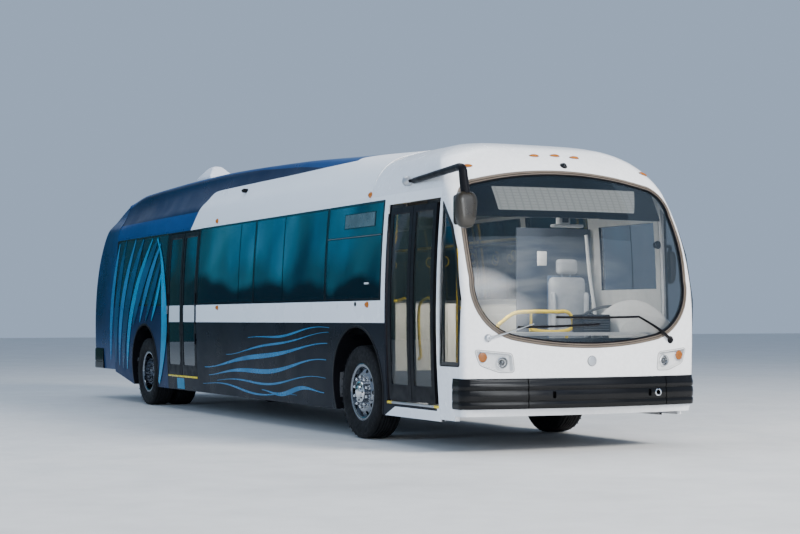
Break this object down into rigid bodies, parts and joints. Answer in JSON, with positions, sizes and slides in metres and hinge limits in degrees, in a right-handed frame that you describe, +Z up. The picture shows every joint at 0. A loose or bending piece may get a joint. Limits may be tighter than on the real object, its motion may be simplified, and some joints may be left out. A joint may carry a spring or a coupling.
{
  "type": "city bus",
  "caption": "Low-floor electric city bus with glazed front and rear doorways on the curb side, twin rear wheels, roof fairing and furnished saloon.",
  "frame": {"origin": "on the ground at mid length, under the middle of the bus", "axes": "+X to the front, +Y to the street side, +Z up"},
  "size_m": [12.9498, 2.826, 3.57],
  "materials": {
    "body_white": "gloss",
    "body_blue": "gloss",
    "saloon_lining": "matt",
    "unit_white": "satin",
    "floor_covering": "matt",
    "bumper_black": "satin",
    "clear_glass": "clear",
    "gasket_rubber": "satin",
    "tinted_glass": "tinted",
    "lamp_lens": "clear cover",
    "mirror_shell": "gloss",
    "sign_black": "satin",
    "dash_plastic": "grained",
    "seat_cloth": "woven",
    "partition_plastic": "satin",
    "seat_shell": "satin",
    "rail_yellow": "powder coat",
    "battery_case": "matt",
    "axle_iron": "painted",
    "tyre": "matt",
    "wheel_alloy": "polished",
    "door_frame": "satin",
    "door_glass": "clear"
  },
  "bodies": {
    "coach_body": {"chassis_floor": "floor_covering", "curb_side_wall": "body_white", "street_side_wall": "body_white", "roof_panel": "saloon_lining", "roof_fairing": "body_blue", "roof_unit": "unit_white", "front_mask": "body_white", "rear_cap": "body_blue", "front_bumper": "bumper_black", "rear_bumper": "bumper_black", "windscreen": "clear_glass", "windscreen_gasket": "gasket_rubber", "curb_windows": "tinted_glass", "street_windows": "tinted_glass", "lamps": "lamp_lens", "mirrors": "mirror_shell", "destination_sign": "sign_black", "dashboard": "dash_plastic", "driver_seat": "seat_cloth", "driver_partition": "partition_plastic", "passenger_seats": "seat_shell", "grab_rails": "rail_yellow", "drive_blocks": "battery_case", "axles": "axle_iron"},
    "curb_knuckle": {"curb_knuckle": "axle_iron"},
    "street_knuckle": {"street_knuckle": "axle_iron"},
    "front_curb_wheel": {"front_curb_tyre": "tyre", "front_curb_rim": "wheel_alloy"},
    "front_street_wheel": {"front_street_tyre": "tyre", "front_street_rim": "wheel_alloy"},
    "rear_curb_wheels": {"rear_curb_tyres": "tyre", "rear_curb_rims": "wheel_alloy"},
    "rear_street_wheels": {"rear_street_tyres": "tyre", "rear_street_rims": "wheel_alloy"},
    "front_door_aft_arm": {"front_door_aft_arm": "door_frame"},
    "front_door_aft_leaf": {"front_door_aft_leaf": "door_frame", "front_door_aft_glass": "door_glass"},
    "front_door_fore_arm": {"front_door_fore_arm": "door_frame"},
    "front_door_fore_leaf": {"front_door_fore_leaf": "door_frame", "front_door_fore_glass": "door_glass"},
    "rear_door_aft_leaf": {"rear_door_aft_leaf": "door_frame", "rear_door_aft_glass": "door_glass"},
    "rear_door_fore_leaf": {"rear_door_fore_leaf": "door_frame", "rear_door_fore_glass": "door_glass"},
    "rear_hatch": {"rear_hatch": "body_blue"}
  },
  "joints": [
    {"name": "curb_steering", "type": "hinge", "parent": "coach_body", "child": "curb_knuckle", "pos_m": [3.965, -0.985, 0.485], "axis": [0, 0, 1], "range_deg": [-40, 40]},
    {"name": "street_steering", "type": "hinge", "parent": "coach_body", "child": "street_knuckle", "pos_m": [3.965, 0.985, 0.485], "axis": [0, 0, 1], "range_deg": [-40, 40]},
    {"name": "front_curb_wheel_spin", "type": "hinge", "parent": "curb_knuckle", "child": "front_curb_wheel", "pos_m": [3.965, -1.1, 0.485], "axis": [0, 1, 0], "continuous": true},
    {"name": "front_street_wheel_spin", "type": "hinge", "parent": "street_knuckle", "child": "front_street_wheel", "pos_m": [3.965, 1.1, 0.485], "axis": [0, 1, 0], "continuous": true},
    {"name": "rear_curb_wheels_spin", "type": "hinge", "parent": "coach_body", "child": "rear_curb_wheels", "pos_m": [-3.555, -1.1, 0.485], "axis": [0, 1, 0], "continuous": true},
    {"name": "rear_street_wheels_spin", "type": "hinge", "parent": "coach_body", "child": "rear_street_wheels", "pos_m": [-3.555, 1.1, 0.485], "axis": [0, 1, 0], "continuous": true},
    {"name": "front_door_aft_arm_swing", "type": "hinge", "parent": "coach_body", "child": "front_door_aft_arm", "pos_m": [4.695, -1.205, 1.4], "axis": [0, 0, 1], "range_deg": [0, 90]},
    {"name": "front_door_aft_leaf_turn", "type": "hinge", "parent": "front_door_aft_arm", "child": "front_door_aft_leaf", "pos_m": [4.9839, -1.205, 1.4], "axis": [0, 0, 1], "range_deg": [-180, 0]},
    {"name": "front_door_fore_arm_swing", "type": "hinge", "parent": "coach_body", "child": "front_door_fore_arm", "pos_m": [5.78, -1.205, 1.4], "axis": [0, 0, 1], "range_deg": [-90, 0]},
    {"name": "front_door_fore_leaf_turn", "type": "hinge", "parent": "front_door_fore_arm", "child": "front_door_fore_leaf", "pos_m": [5.49111, -1.205, 1.4], "axis": [0, 0, 1], "range_deg": [0, 180]},
    {"name": "rear_door_fore_swing", "type": "hinge", "parent": "coach_body", "child": "rear_door_fore_leaf", "pos_m": [-1.227, -1.297, 1.4], "axis": [0, 0, 1], "range_deg": [0, 90]},
    {"name": "rear_door_aft_swing", "type": "hinge", "parent": "coach_body", "child": "rear_door_aft_leaf", "pos_m": [-2.433, -1.297, 1.4], "axis": [0, 0, 1], "range_deg": [-90, 0]},
    {"name": "rear_hatch_lift", "type": "hinge", "parent": "coach_body", "child": "rear_hatch", "pos_m": [-6.43, 0, 1.702], "axis": [0, 1, 0], "range_deg": [0, 80]}
  ],
  "couplings": [
    {"joint": "curb_steering", "follows": "street_steering", "ratio": 1},
    {"joint": "front_door_aft_leaf_turn", "follows": "front_door_aft_arm_swing", "ratio": -2},
    {"joint": "front_door_fore_arm_swing", "follows": "front_door_aft_arm_swing", "ratio": -1},
    {"joint": "front_door_fore_leaf_turn", "follows": "front_door_aft_arm_swing", "ratio": 2},
    {"joint": "rear_door_aft_swing", "follows": "rear_door_fore_swing", "ratio": -1}
  ]
}
